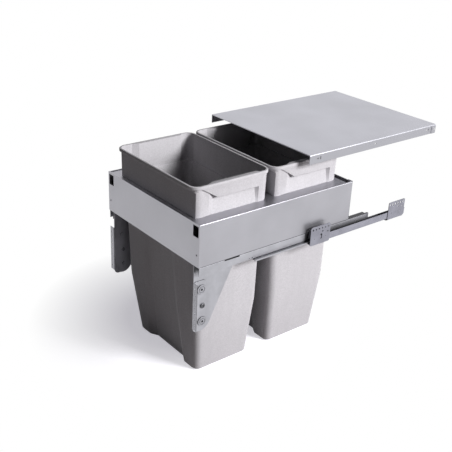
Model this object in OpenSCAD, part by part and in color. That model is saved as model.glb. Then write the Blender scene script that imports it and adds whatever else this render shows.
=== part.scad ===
// Pull-out bin unit for a kitchen base cabinet: two bins in a sheet steel carrier on telescopic
// runners, with a fixed lid and two door brackets. It is shown partly drawn out of the cabinet.
// X runs across the unit, Y runs back into the cabinet and Z is up. The front panel faces -Y.
// The origin is on the centre plane, midway between front panel and lid back, level with the feet.

/* [Bins] */
// Width of one bin over its rim
bin_w = 323; // [300:1:340]
// Depth of one bin over its rim
bin_d = 226; // [215:1:245]
// Height of one bin from foot to rim
bin_h = 514; // [470:1:560]
// Wall thickness of a bin
bin_wall = 2.4; // [1.8:0.1:3]
// Height of the rolled lip
lip_h = 7; // [5:0.5:10]
// How far the lip stands out from the wall
lip_proud = 3; // [2:0.25:4]
// Height of the rim above the frame's top edge
rim_above_frame = 74; // [64:1:84]
// Depth of the finger pocket in each short wall
pocket_depth = 8; // [7:0.5:10]
// Height of the skirt that hides the top of the pocket
skirt_h = 34; // [26:1:42]
// Greatest depth of the panel pressed into the front wall
panel_depth = 12; // [4:0.5:14]
// Gap between the rims of the two bins
bin_gap = 6; // [4:0.5:14]

/* [Carrier frame] */
// Height of the frame panels
frame_h = 105; // [98:1:130]
// Thickness of the steel sheet
sheet = 1.5; // [1:0.1:2]
// Clear width between a bin rim and the outside of the frame
side_margin = 30.5; // [29:0.5:40]
// Clear depth between the front panel's face and the front rim
front_margin = 3.5; // [3:0.25:8]
// Clear depth between the rear rim and the frame's back
rear_margin = 18.5; // [14:0.5:30]
// Width of the windows in the front panel
window_w = 20; // [10:1:22]
// Height of the windows in the front panel
window_h = 27; // [15:1:40]
// Distance of a window from the panel's side edge
window_side = 4; // [3:0.5:8]
// Distance of a window from the panel's top edge
window_top = 5.5; // [4:0.5:10]

/* [Runners] */
// How far the unit is drawn out in the modelled pose
drawn_out = 320; // [260:1:360]
// Space between the frame and the cabinet wall
runner_space = 14; // [13:0.5:18]
// Height of the drawer member
drawer_member_h = 21; // [19:0.5:24]
// Length of the drawer member behind the frame
drawer_tail = 65; // [40:1:80]
// Length of the middle member
middle_l = 400; // [380:1:430]
// Length of the cabinet member
cabinet_member_l = 352; // [340:1:380]
// Diameter of the runner balls
ball_d = 3; // [2.8:0.05:3.1]

/* [Lid] */
// Depth of the lid
lid_d = 468; // [440:1:500]
// Height of the lid's flanges
lid_flange_h = 23.7; // [18:0.1:30]
// Thickness of the lid's sheet
lid_sheet = 1.2; // [0.8:0.1:1.5]
// Gap between the bin rims and the lid's flanges
lid_clear = 0.7; // [0.5:0.1:4]
// Difference between the frame's side and the lid's side
lid_inset = 2; // [1.5:0.5:6]

/* [Door brackets] */
// Depth of a bracket plate at its top
bracket_d = 128; // [100:1:150]
// Height of a bracket plate
bracket_h = 179; // [174:1:190]
// Radius of the bracket plate's lower end
bracket_r = 25; // [22:0.5:28]
// Width of the flange that the door is screwed to
door_flange_w = 15; // [12:0.5:16]
// Diameter of the screw holes in the door flange
door_hole_d = 4.5; // [3.5:0.1:5.5]
// Distance between neighbouring holes in the door flange
door_hole_pitch = 16; // [14:0.5:18]
// Diameter of the eccentrics' heads
eccentric_head_d = 24; // [18:0.5:26]
// Throw of the height eccentrics
throw = 3; // [2:0.1:3.5]

/* [Cabinet plates] */
// Distance of the front plate's main holes from its edges
front_plate_edge = 7.5; // [5.5:0.5:10]
// Distance of the rear plate's main holes from its edges
rear_plate_edge = 6; // [5.5:0.5:10]
// Height of both cabinet plates
plate_h = 50; // [47:0.5:54]
// Diameter of the main screw holes
plate_hole_d = 5; // [4:0.1:6]
// Distance between the two main screw holes
plate_hole_pitch = 52; // [46:0.5:53]

/* [Hidden] */
// Number of facets of round bores, pins and bends
round_fn = 48;
// Overrun of cuts past the surface that they open
over = 1;
// Gap between parts that move past each other
play = 0.3;
// Radial clearance of a pin that turns in its bore
running_fit = 0.05;
// Radial clearance of a rivet or screw in its own hole
rivet_fit = 0.02;

// Overall sizes that follow from the bins and their margins
frame_w = bin_w + 2 * side_margin;
frame_d = front_margin + 2 * bin_d + bin_gap + rear_margin;
half_w = frame_w / 2;
total_d = drawn_out + lid_d;
foot_z = rim_above_frame - bin_h;
bin_pitch = bin_d + bin_gap;

// Carrier frame
hem_w = 4;
fold_r = sheet;
corner_r = 4;
front_flange_w = 12;
side_flange_w = 32;
rear_return_w = 17;
rear_flange_w = 10;
deck_top = -sheet;
deck_flange_h = 12;
deck_play = 1.3;
opening_r = 16;
pilot_hole_d = 4.4;
pilot_hole_side = 9;
pilot_hole_drop = 76;
rivet_d = 4;
rivet_head_d = 7;
rivet_head_h = 1.2;
rear_rivet_inset = 9;
rear_rivet_drop = 22;

// Bin sections, measured down from the rim and inwards from the rim's outer edge
rim_round = 1.2;
rim_r = 24;
foot_r = 18;
foot_round = 5;
neck_drop = 1.5;
upper_draft = 1;
shoulder_side = 4;
shoulder_front = 9;
shoulder_back = 4;
knee_drop = 345;
mid_draft_side = 3.5;
mid_draft_front = 13.5;
mid_draft_back = 2.5;
foot_draft_side = 23;
foot_draft_front = 19.5;
foot_draft_back = 3.5;
shoulder_drop = rim_above_frame - deck_top;
pocket_start = 62;
pocket_end = 184;
pocket_bevel = 6;
pocket_front_bevel = 16;
pocket_clear = 18;
pocket_foot_depth = 2;
pocket_heel = 16;
pocket_heel_h = 32;
pocket_heel_steps = 4;
front_cut = 8.5;
front_cut_run = 9;
edge_step = 0.4;
panel_below_deck = 12;
panel_run_in = 16;
panel_start_share = 0.4;
panel_top_half = 62;
panel_foot_half = 80;
panel_bevel = 22;
corner_steps = 8;
skirt_in = 1;
skirt_shy = 0.4;
skirt_start = 24;
skirt_knee = 36;
skirt_knee_drop = 14;

// Runner members, in the plane across the runner
member_sheet = 1.5;
member_w = 15;
member_shy = 0.5;
member_front = 2;
ball_slack = 0.25;
ball_slot = ball_d + 2 * ball_slack;
cage_room = 1.5;
cage_web = 0.8;
cage_wall = 1.1;
cage_leg_end = 2;
ball_pitch = 12;
cage_end = 8;
upper_cage_l = 200;
upper_cage_inset = 92;
lower_cage_l = 140;
lower_cage_inset = 41;
neck_h = 5;
foot_t = 4;
foot_in_shift = 0.5;
foot_drop = 1;
cabinet_web_h = 19;
slot_start = 74;
slot_l = 44;
slot_h = 3.5;
member_hole_d = 2.6;
member_hole_drop = 18;
member_hole_start = 148;
member_hole_pitch = 9;

drawer_out = half_w - member_shy;
drawer_in = drawer_out - member_w;
drawer_z = -frame_h - drawer_member_h;
drawer_l = frame_d + drawer_tail - member_front;
head_top = -frame_h - member_sheet - cage_room;
head_in = drawer_in + member_sheet + ball_slot;
head_out = drawer_out - member_sheet - ball_slot;
foot_top = drawer_z - foot_drop;
foot_bottom = foot_top - foot_t;
head_h = head_top - foot_top - neck_h;
cabinet_in = drawer_in + foot_in_shift;
cabinet_out = half_w + runner_space - sheet;
cabinet_z = foot_bottom - cage_room - member_sheet;
middle_foot_in = cabinet_in + member_sheet + ball_slot;
middle_foot_out = cabinet_out - member_sheet - ball_slot;
cabinet_start = drawn_out + 13;
middle_start = drawn_out / 2;
upper_ball_z = head_top - head_h / 2;
upper_ball_low = head_in - ball_slot / 2;
upper_ball_high = head_out + ball_slot / 2;
upper_cage_y = middle_start + upper_cage_inset;
lower_ball_z = foot_top - foot_t / 2;
lower_ball_low = middle_foot_in - ball_slot / 2;
lower_ball_high = middle_foot_out + ball_slot / 2;
lower_cage_y = cabinet_start + lower_cage_inset;

// Cabinet plates
front_plate_d = plate_hole_pitch + 2 * front_plate_edge;
rear_plate_d = plate_hole_pitch + 2 * rear_plate_edge;
plate_out = half_w + runner_space;
plate_in = plate_out - sheet;
plate_drop = 3;
plate_z = cabinet_z - plate_drop;
plate_r = 5;
plate_setback = 11;
front_plate_y = drawn_out + plate_setback;
rear_plate_y = cabinet_start + cabinet_member_l - rear_plate_d - 4;
plate_row_drop = 8;
plate_small_hole_d = 4;
plate_small_holes = 4;
plate_slot_l = 7;
plate_key_l = 14;
plate_key_w = 6;
plate_lip_w = 6;
plate_lip_h = 24;
plate_lip_drop = 6;
plate_rivet_d = 3;
plate_rivet_head_d = 6;
plate_rivet_head_h = 1;
plate_rivet_rise = 14;
plate_rivet_inset = 14;
clip_l = 18;
clip_w = 14;
clip_h = 5;
peg_d = 4;
clip_x = cabinet_out - member_sheet - clip_w / 2;
clip_y = rear_plate_y + clip_w / 4;
plate_key_share = [0.55, 0.4];
plate_hole_shares = [[0.61, 0.66], [0.88, 0.58]];

// Door brackets
bracket_side = 19;
bracket_front = sheet + play;
bracket_out = half_w - bracket_side;
bracket_top_w = 13;
bracket_lip_w = 5;
bracket_lip_share = 0.03;
bracket_rivet_inset = 7;
bracket_rivet_start = 24;
bracket_rivet_pitch = 70;
adjuster_y = bracket_front + bracket_r;
upper_y = adjuster_y - 4;
lower_z = -frame_h - bracket_h + bracket_r;
upper_z = -frame_h - 68;
clamp_z = -frame_h - 112;
angle_top = -frame_h - 45;
leg_d = 38;
leg_r = 12;
door_flange_h = 122;
door_holes = 7;
door_hole_drop = (door_flange_h - (door_holes - 1) * door_hole_pitch) / 2;
journal_d = 6;
journal_collar_d = 9;
collar_t = 1.5;
disc_d = 15;
head_t = 1.8;
socket_d = 6;
socket_t = 1.2;
clamp_d = 5;
clamp_head_d = 13;
clamp_head_h = 3;
clamp_nut_d = 9;
clamp_nut_t = 2.5;
clamp_slot_l = 11;
travel = 2;
swing = asin(travel / throw);
leg_in = bracket_out + play;
leg_out = leg_in + sheet;

// Lid
lid_half = half_w - lid_inset;
lid_z = rim_above_frame + lid_clear;
lid_top = lid_z + lid_flange_h;
lid_fold_r = 3;
lid_hem_w = 6;
lid_ear_l = 18;
lid_hole_d = 4.4;
lid_hole_rise = 11.8;
lid_hole_start = 27;
lid_hole_end = 20;
lid_holes = 3;
lid_hole_pitch = (lid_d - lid_hole_start - lid_ear_l - lid_hole_end) / (lid_holes - 1);
lid_slot_l = 8;
lid_slot_w = 3;
lid_slot_gap = 8.5;
lid_rivet_d = 3;
lid_rivet_head_d = 6;
lid_rivet_head_h = 1;

// Moves a piece from the front panel's top edge to the part's origin
module in_place() {
    translate([0, -total_d / 2, -foot_z]) children();
}

// Mirrors a piece that is drawn for the right side
module on_side(side) {
    mirror([side < 0 ? 1 : 0, 0, 0]) children();
}

// A box between two corners
module block(low, high) {
    translate(low) cube(high - low);
}

// Extrudes a section in the plane across the unit backwards from a start
module along_y(start, length) {
    translate([0, start + length, 0]) rotate([90, 0, 0]) linear_extrude(length) children();
}

// Extrudes an outline in the side view outwards from a start
module along_x(start, length) {
    translate([start, 0, 0]) rotate([90, 0, 90]) linear_extrude(length) children();
}

// A rod along X
module rod(start, length, d, y, z) {
    translate([start, y, z]) rotate([0, 90, 0]) cylinder(h = length, d = d, $fn = round_fn);
}

// A quarter ring of folded sheet, its outer corner at the origin
module bend(r, t) {
    intersection() {
        translate([r, r]) difference() {
            circle(r, $fn = round_fn);
            if (r > t) circle(r - t, $fn = round_fn);
        }
        square(r);
    }
}

// An L of folded sheet with its outer corner at the origin and its legs along +X and +Y
module fold(leg_x, leg_y, t, r) {
    bend(r, t);
    translate([r, 0]) square([leg_x - r, t]);
    translate([0, r]) square([t, leg_y - r]);
}

// A channel of folded sheet: a web along Y at X = 0 with two legs along +X
module channel(low_leg, high_leg, height, t, r) {
    fold(low_leg, height / 2, t, r);
    translate([0, height]) mirror([0, 1]) fold(high_leg, height / 2, t, r);
}

// A rectangle with round corners
module soft_square(size, r) {
    union() {
        translate([r, 0]) square([size.x - 2 * r, size.y]);
        translate([0, r]) square([size.x, size.y - 2 * r]);
        for (x = [r, size.x - r], y = [r, size.y - r]) translate([x, y]) circle(r, $fn = round_fn);
    }
}

// A slot with round ends, centred, its length along X
module slot(length, d) {
    square([length - d, d], center = true);
    for (x = [d - length, length - d] / 2) translate([x, 0]) circle(d = d, $fn = round_fn);
}

// A flat-headed rivet along +Z with its head below the origin
module rivet(length, d, head_d, head_h) {
    translate([0, 0, -head_h]) cylinder(h = head_h, d = head_d, $fn = round_fn);
    cylinder(h = length, d = d - 2 * rivet_fit, $fn = round_fn);
}

// Front panel with its hem, lower flange and two windows
module front_panel() {
    color("silver") in_place() difference() {
        union() {
            block([-half_w, 0, -frame_h], [half_w, sheet, 0]);
            block([hem_w - half_w, sheet, -sheet], [half_w - hem_w, front_margin, 0]);
            block([side_flange_w - half_w, sheet, -frame_h],
                [half_w - side_flange_w, front_flange_w, sheet - frame_h]);
        }
        for (side = [-1, 1]) on_side(side) {
            block([half_w - window_side - window_w, -over, -window_top - window_h],
                [half_w - window_side, sheet + over, -window_top]);
            translate([half_w - pilot_hole_side, sheet + over, -pilot_hole_drop])
                rotate([90, 0, 0]) cylinder(h = sheet + 2 * over, d = pilot_hole_d, $fn = round_fn);
        }
    }
}

// Side panel: hem on top, wide lower flange and a return round the rear corner
module side_panel(side) {
    color("silver") in_place() on_side(side) difference() {
        union() {
            along_y(sheet, frame_d - sheet - corner_r) translate([half_w, -frame_h]) mirror([1, 0])
                channel(side_flange_w, hem_w, frame_h, sheet, fold_r);
            translate([half_w, frame_d, -frame_h]) mirror([1, 0, 0]) mirror([0, 1, 0])
                linear_extrude(frame_h) fold(rear_return_w, corner_r + over, sheet, corner_r);
        }
        for (i = [0, 1])
            translate([bracket_out - bracket_rivet_inset,
                    bracket_rivet_start + i * bracket_rivet_pitch, -frame_h - over])
                cylinder(h = sheet + 2 * over, d = rivet_d, $fn = round_fn);
        rear_rivet_holes();
    }
}
module side_panel_left() { side_panel(-1); }
module side_panel_right() { side_panel(1); }

// Bores of the rivets that join the rear panel to the side returns
module rear_rivet_holes() {
    for (z = [-rear_rivet_drop, rear_rivet_drop - frame_h])
        translate([half_w - rear_rivet_inset, frame_d + over, z]) rotate([90, 0, 0])
            cylinder(h = 2 * sheet + 2 * over, d = rivet_d, $fn = round_fn);
}

// Rear panel inside the side panels' returns
module rear_panel() {
    color("silver") in_place() difference() {
        along_x(corner_r - half_w, frame_w - 2 * corner_r)
            translate([frame_d - sheet, -frame_h]) mirror([1, 0])
                channel(rear_flange_w, hem_w, frame_h, sheet, fold_r);
        for (side = [-1, 1]) on_side(side) {
            rear_rivet_holes();
            block([half_w - side_flange_w, frame_d - rear_flange_w - 2 * sheet, -frame_h - over],
                [half_w, frame_d - corner_r, sheet + over - frame_h]);
        }
    }
}

// Rivets of the rear panel
module rear_rivets() {
    color("gainsboro") in_place() for (side = [-1, 1], z = [-rear_rivet_drop, rear_rivet_drop - frame_h])
        on_side(side) translate([half_w - rear_rivet_inset, frame_d, z]) rotate([90, 0, 0])
            rivet(2 * sheet, rivet_d, rivet_head_d, rivet_head_h);
}

// Outline of one deck opening, in plan
module deck_opening() {
    side = lip_proud + upper_draft + shoulder_side - deck_play;
    front = lip_proud + upper_draft + shoulder_front - deck_play;
    back = lip_proud + upper_draft + shoulder_back - deck_play;
    translate([side - bin_w / 2, front_margin + front])
        soft_square([bin_w - 2 * side, bin_d - front - back], opening_r);
}

// Deck that carries both bins by their shoulders
module bin_deck() {
    deck_end = front_margin + 2 * bin_d + bin_gap;
    color("lightgray") in_place() difference() {
        union() {
            block([sheet - half_w, sheet, deck_top - sheet], [half_w - sheet, deck_end, deck_top]);
            block([sheet - half_w, deck_end - sheet, deck_top - deck_flange_h],
                [half_w - sheet, deck_end, deck_top]);
            for (side = [-1, 1]) on_side(side)
                block([half_w - 2 * sheet, window_w, deck_top - deck_flange_h],
                    [half_w - sheet, deck_end, deck_top]);
        }
        for (i = [0, 1]) translate([0, i * bin_pitch, deck_top - sheet - over])
            linear_extrude(sheet + 2 * over) deck_opening();
    }
}

// Insets of a bin section from the rim's outline: side, front and back, at a drop from the rim
function lerp(a, b, t) = a + (b - a) * t;
function base_inset(shoulder) = lip_proud + upper_draft + shoulder;
function lower_inset(shoulder, mid, foot, drop) = drop < knee_drop
    ? base_inset(shoulder) + mid * (drop - shoulder_drop) / (knee_drop - shoulder_drop)
    : base_inset(shoulder) + mid + foot * (drop - knee_drop) / (bin_h - knee_drop);
function lower_insets(drop) = [
    lower_inset(shoulder_side, mid_draft_side, foot_draft_side, drop),
    lower_inset(shoulder_front, mid_draft_front, foot_draft_front, drop),
    lower_inset(shoulder_back, mid_draft_back, foot_draft_back, drop)
];
function upper_insets(drop) = lip_proud * [1, 1, 1] + upper_draft * drop / shoulder_drop * [1, 1, 1];
function lower_r(drop) = lerp(rim_r - lip_proud, foot_r, (drop - shoulder_drop) / (bin_h - shoulder_drop));

// Depth and half width of the panel in the front wall at a drop from the rim
panel_drop = shoulder_drop + panel_below_deck;
panel_start_drop = panel_drop + panel_run_in;
function panel_share(drop) = drop <= panel_drop ? 0
    : drop < panel_start_drop ? panel_start_share * (drop - panel_drop) / panel_run_in
    : lerp(panel_start_share, 1, (drop - panel_start_drop) / (bin_h - panel_start_drop));
function panel_half(drop) = lerp(panel_top_half, panel_foot_half,
    max(drop - panel_drop, 0) / (bin_h - panel_drop));

// A level of a bin skin: its drop, insets, corner radius and pocket depth, and above the shoulder
// also how far the flat front wall cuts into the corners
function lower_level(drop) = [drop, lower_insets(drop), lower_r(drop), 0];
function upper_level(drop, pocket, cut) = [drop, upper_insets(drop), rim_r - lip_proud, pocket, cut];
heel_drop = shoulder_drop - pocket_heel_h;
function heel_share(drop) = max(drop - heel_drop, 0) / pocket_heel_h;
function heel_levels(drop_end) = [for (i = [0 : pocket_heel_steps])
    let (drop = lerp(heel_drop, drop_end, i / pocket_heel_steps))
    upper_level(drop, lerp(pocket_depth, pocket_foot_depth, heel_share(drop)), front_cut)];
outer_levels = concat([
    [0, rim_round * [1, 1, 1], rim_r - rim_round, 0, 0],
    [rim_round, [0, 0, 0], rim_r, 0, 0],
    [lip_h, [0, 0, 0], rim_r, 0, 0],
    upper_level(lip_h, 0, 0),
    upper_level(lip_h + neck_drop, pocket_depth, 0),
    upper_level(lip_h + front_cut_run, pocket_depth, front_cut)
], heel_levels(shoulder_drop), [
    lower_level(shoulder_drop),
    lower_level(panel_drop),
    lower_level(panel_start_drop),
    lower_level(knee_drop),
    lower_level(bin_h - foot_round),
    [bin_h, lower_insets(bin_h) + foot_round * [1, 1, 1], foot_r - foot_round, 0]
]);
function raised(level, rise) = [for (i = [0 : len(level) - 1]) i == 0 ? level[0] - rise : level[i]];
inner_levels = concat([
    [0, upper_insets(0), rim_r - lip_proud, pocket_depth, 0],
    upper_level(lip_h, pocket_depth, 0),
    upper_level(lip_h + front_cut_run, pocket_depth, front_cut)
], heel_levels(shoulder_drop - bin_wall), [
    raised(lower_level(shoulder_drop), bin_wall),
    lower_level(panel_drop),
    lower_level(panel_start_drop),
    lower_level(knee_drop),
    lower_level(bin_h - foot_round - bin_wall),
    raised([bin_h, lower_insets(bin_h) + foot_round * [1, 1, 1], foot_r - foot_round, 0], bin_wall)
]);

// Points of one corner of a section, over a quarter turn or less
function corner(x, y, r, from, span = 90) = [for (i = [0 : corner_steps])
    [x + r * cos(from + span * i / corner_steps), y + r * sin(from + span * i / corner_steps)]];

// The closed outline of a level, drawn in by the wall for the inner skin
function outline(level, wall) = let (
    half = bin_w / 2 - level[1][0] - wall,
    front = level[1][1] + wall,
    back = bin_d - level[1][2] - wall,
    r = level[2] - wall,
    dent = level[3],
    heel = heel_share(min(level[0], shoulder_drop)),
    from = max(pocket_start - pocket_heel * (1 - sqrt(1 - heel * heel)) - wall, front + r + pocket_clear),
    to = pocket_end + wall,
    lower = len(level) == len(lower_level(0)),
    cut = lower ? 0 : level[4],
    skipped = acos(1 - cut / r),
    wall_y = front + cut,
    panel = lower ? panel_depth * panel_share(level[0]) : 0,
    bevel = lower ? panel_bevel : edge_step,
    flat = lower ? panel_half(level[0]) + wall / 2 : half - r + r * sin(skipped) - bevel
) concat(
    corner(half - r, front + r, r, skipped - 90, 90 - skipped),
    [[half, from - pocket_front_bevel], [half - dent, from], [half - dent, to], [half, to + pocket_bevel]],
    corner(half - r, back - r, r, 0),
    corner(r - half, back - r, r, 90),
    [[-half, to + pocket_bevel], [dent - half, to], [dent - half, from], [-half, from - pocket_front_bevel]],
    corner(r - half, front + r, r, 180, 90 - skipped),
    [[-flat, wall_y], [bevel - flat, wall_y + panel], [flat - bevel, wall_y + panel], [flat, wall_y]]
);

// Triangles between two neighbouring rings of n points each
function strip(upper, lower, n) = [for (j = [0 : n - 1]) each [
    [upper * n + j, upper * n + (j + 1) % n, lower * n + (j + 1) % n],
    [upper * n + j, lower * n + (j + 1) % n, lower * n + j]
]];

// A bin's shell in one piece: the outer skin down to the foot and the inner skin back up to the rim
module shell() {
    rings = concat(
        [for (level = outer_levels) [for (p = outline(level, 0)) [p.x, p.y, -level[0]]]],
        [for (level = inner_levels) [for (p = outline(level, bin_wall)) [p.x, p.y, -level[0]]]]
    );
    n = len(rings[0]);
    k = len(outer_levels);
    m = len(rings);
    polyhedron(
        points = [for (ring = rings) each ring],
        faces = concat(
            [for (i = [0 : k - 2]) each strip(i, i + 1, n)],
            [for (i = [k : m - 2]) each strip(i + 1, i, n)],
            strip(k, 0, n),
            [[for (j = [0 : n - 1]) (k - 1) * n + j]],
            [[for (j = [n - 1 : -1 : 0]) (m - 1) * n + j]]
        )
    );
}

// Skirt over the finger pocket of the right short wall
module pocket_skirt() {
    end = pocket_end + pocket_bevel;
    along_x(bin_w / 2 - lip_proud - skirt_in, lip_proud + skirt_in - skirt_shy) polygon([
        [skirt_start, -rim_round], [skirt_start, -lip_h], [skirt_knee, -skirt_knee_drop],
        [pocket_start + pocket_bevel, -skirt_h], [end, -skirt_h], [end, -rim_round]
    ]);
}

// One bin, drawn in its place in the deck
module bin(index) {
    color("lightgray") in_place()
        translate([0, front_margin + index * bin_pitch, rim_above_frame]) union() {
            shell();
            for (side = [-1, 1]) on_side(side) pocket_skirt();
        }
}
module front_bin() { bin(0); }
module rear_bin() { bin(1); }

// Drawer member: an inverted channel below the side panel
module drawer_member(side) {
    color("lightsteelblue") in_place() on_side(side) difference() {
        along_y(member_front, drawer_l) translate([drawer_in, -frame_h]) rotate(-90)
            channel(drawer_member_h, drawer_member_h, member_w, member_sheet, fold_r);
        along_x(drawer_out - member_sheet - over, member_sheet + 2 * over) {
            translate([slot_start, -frame_h - slot_h]) square([slot_l, slot_h + over]);
            for (i = [0, 1])
                translate([member_hole_start + i * member_hole_pitch, -frame_h - member_hole_drop])
                    circle(d = member_hole_d, $fn = round_fn);
        }
    }
}
module drawer_member_left() { drawer_member(-1); }
module drawer_member_right() { drawer_member(1); }

// Section of the middle member: a hollow head, a neck and a wide foot
module middle_section() {
    difference() {
        union() {
            translate([head_in, foot_top - over]) square([head_out - head_in, head_top - foot_top + over]);
            translate([middle_foot_in, foot_bottom]) square([middle_foot_out - middle_foot_in, foot_t]);
        }
        translate([head_in + member_sheet, foot_bottom - over])
            square([head_out - head_in - 2 * member_sheet, head_top - foot_bottom + over - member_sheet]);
        translate([middle_foot_in + member_sheet, foot_bottom - over])
            square([middle_foot_out - middle_foot_in - 2 * member_sheet, foot_t + over - member_sheet]);
    }
}
module middle_member(side) {
    color("lightsteelblue") in_place() on_side(side) along_y(middle_start, middle_l) middle_section();
}
module middle_member_left() { middle_member(-1); }
module middle_member_right() { middle_member(1); }

// Cabinet member: a shallow channel with a tall outer web
module cabinet_member(side) {
    half = (cabinet_out - cabinet_in) / 2;
    color("lightsteelblue") in_place() on_side(side) difference() {
        along_y(cabinet_start, cabinet_member_l) {
            translate([cabinet_out, cabinet_z]) mirror([1, 0])
                fold(half, cabinet_web_h, member_sheet, fold_r);
            translate([cabinet_in, cabinet_z]) fold(half, foot_top - cabinet_z, member_sheet, fold_r);
        }
        plate_rivet_holes(front_plate_y, front_plate_d);
        plate_rivet_holes(rear_plate_y, rear_plate_d);
        translate([clip_x, clip_y, cabinet_z - over])
            cylinder(h = member_sheet + 2 * over, d = peg_d, $fn = round_fn);
    }
}
module cabinet_member_left() { cabinet_member(-1); }
module cabinet_member_right() { cabinet_member(1); }

// Places pieces at both rivets of a cabinet plate
module at_plate_rivets(start, depth) {
    for (y = [start + plate_rivet_inset, start + depth - plate_rivet_inset])
        translate([cabinet_out - member_sheet, y, cabinet_z + plate_rivet_rise]) rotate([0, 90, 0])
            children();
}
module plate_rivet_holes(start, depth) {
    at_plate_rivets(start, depth) translate([0, 0, -over])
        cylinder(h = member_sheet + sheet + 2 * over, d = plate_rivet_d, $fn = round_fn);
}

// Cages and balls: a web with two legs, and holes for a row of balls in each leg
module cage(web_z, leg_end, x_low, x_high, ball_z, start, length) {
    low = min(web_z, leg_end);
    high = max(web_z + (web_z > leg_end ? cage_web : 0), leg_end);
    difference() {
        union() {
            block([x_low - cage_wall / 2, start, web_z],
                [x_high + cage_wall / 2, start + length, web_z + cage_web]);
            for (x = [x_low, x_high])
                block([x - cage_wall / 2, start, low], [x + cage_wall / 2, start + length, high]);
        }
        at_balls(x_low, x_high, ball_z, start, length)
            translate([-cage_wall, 0, 0]) rotate([0, 90, 0])
                cylinder(h = 2 * cage_wall, d = ball_d + 2 * running_fit, $fn = round_fn);
    }
}
module at_balls(x_low, x_high, ball_z, start, length) {
    count = floor((length - 2 * cage_end) / ball_pitch);
    first = start + (length - count * ball_pitch) / 2;
    for (x = [x_low, x_high], i = [0 : count]) translate([x, first + i * ball_pitch, ball_z]) children();
}
module ball() {
    rotate_extrude($fn = round_fn) intersection() {
        circle(d = ball_d, $fn = round_fn);
        translate([0, -ball_d]) square([ball_d, 2 * ball_d]);
    }
}
module upper_cage(side) {
    color("dimgray") in_place() on_side(side)
        cage(head_top + (cage_room - cage_web) / 2, upper_ball_z - ball_d / 2 - cage_leg_end,
            upper_ball_low, upper_ball_high, upper_ball_z, upper_cage_y, upper_cage_l);
}
module upper_balls(side) {
    color("gainsboro") in_place() on_side(side)
        at_balls(upper_ball_low, upper_ball_high, upper_ball_z, upper_cage_y, upper_cage_l) ball();
}
module lower_cage(side) {
    color("dimgray") in_place() on_side(side)
        cage(foot_bottom - (cage_room + cage_web) / 2, foot_top + play,
            lower_ball_low, lower_ball_high, lower_ball_z, lower_cage_y, lower_cage_l);
}
module lower_balls(side) {
    color("gainsboro") in_place() on_side(side)
        at_balls(lower_ball_low, lower_ball_high, lower_ball_z, lower_cage_y, lower_cage_l) ball();
}
module upper_cage_left() { upper_cage(-1); }
module upper_cage_right() { upper_cage(1); }
module upper_balls_left() { upper_balls(-1); }
module upper_balls_right() { upper_balls(1); }
module lower_cage_left() { lower_cage(-1); }
module lower_cage_right() { lower_cage(1); }
module lower_balls_left() { lower_balls(-1); }
module lower_balls_right() { lower_balls(1); }

// Holes along the top of a cabinet plate; the small ones can be slots
module plate_row(depth, slotted) {
    for (side = [-1, 1]) translate([(depth + side * plate_hole_pitch) / 2, plate_h - plate_row_drop])
        circle(d = plate_hole_d, $fn = round_fn);
    for (i = [1 : plate_small_holes])
        translate([(depth - plate_hole_pitch) / 2 + i * plate_hole_pitch / (plate_small_holes + 1),
                plate_h - plate_row_drop]) {
            if (slotted) rotate(90) slot(plate_slot_l, plate_small_hole_d);
            else circle(d = plate_small_hole_d, $fn = round_fn);
        }
}

// Front cabinet plate with its folded front edge
module front_plate(side) {
    color("silver") in_place() on_side(side) difference() {
        union() {
            along_x(plate_in, sheet) translate([front_plate_y, plate_z])
                soft_square([front_plate_d, plate_h], plate_r);
            translate([plate_out, front_plate_y, plate_z + plate_h - plate_lip_drop - plate_lip_h])
                mirror([1, 0, 0]) linear_extrude(plate_lip_h)
                    fold(plate_lip_w + sheet, plate_r, sheet, fold_r);
        }
        along_x(plate_in - over, sheet + 2 * over) translate([front_plate_y, plate_z]) {
            plate_row(front_plate_d, false);
            for (p = plate_hole_shares) translate([p.x * front_plate_d, p.y * plate_h])
                circle(d = plate_small_hole_d, $fn = round_fn);
            translate([plate_key_share.x * front_plate_d, plate_key_share.y * plate_h])
                rotate(90) slot(plate_key_l, plate_key_w);
        }
        plate_rivet_holes(front_plate_y, front_plate_d);
    }
}
module front_plate_left() { front_plate(-1); }
module front_plate_right() { front_plate(1); }

// Rear cabinet plate
module rear_plate(side) {
    color("silver") in_place() on_side(side) difference() {
        along_x(plate_in, sheet) translate([rear_plate_y, plate_z])
            soft_square([rear_plate_d, plate_h], plate_r);
        along_x(plate_in - over, sheet + 2 * over) translate([rear_plate_y, plate_z]) {
            plate_row(rear_plate_d, true);
            for (p = plate_hole_shares) translate([p.x * rear_plate_d, p.y * plate_h])
                circle(d = plate_small_hole_d, $fn = round_fn);
        }
        plate_rivet_holes(rear_plate_y, rear_plate_d);
    }
}
module rear_plate_left() { rear_plate(-1); }
module rear_plate_right() { rear_plate(1); }

// Rivets of both cabinet plates on one side
module plate_rivets(side) {
    color("gainsboro") in_place() on_side(side) {
        at_plate_rivets(front_plate_y, front_plate_d)
            rivet(member_sheet + sheet, plate_rivet_d, plate_rivet_head_d, plate_rivet_head_h);
        at_plate_rivets(rear_plate_y, rear_plate_d)
            rivet(member_sheet + sheet, plate_rivet_d, plate_rivet_head_d, plate_rivet_head_h);
    }
}
module plate_rivets_left() { plate_rivets(-1); }
module plate_rivets_right() { plate_rivets(1); }

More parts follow.
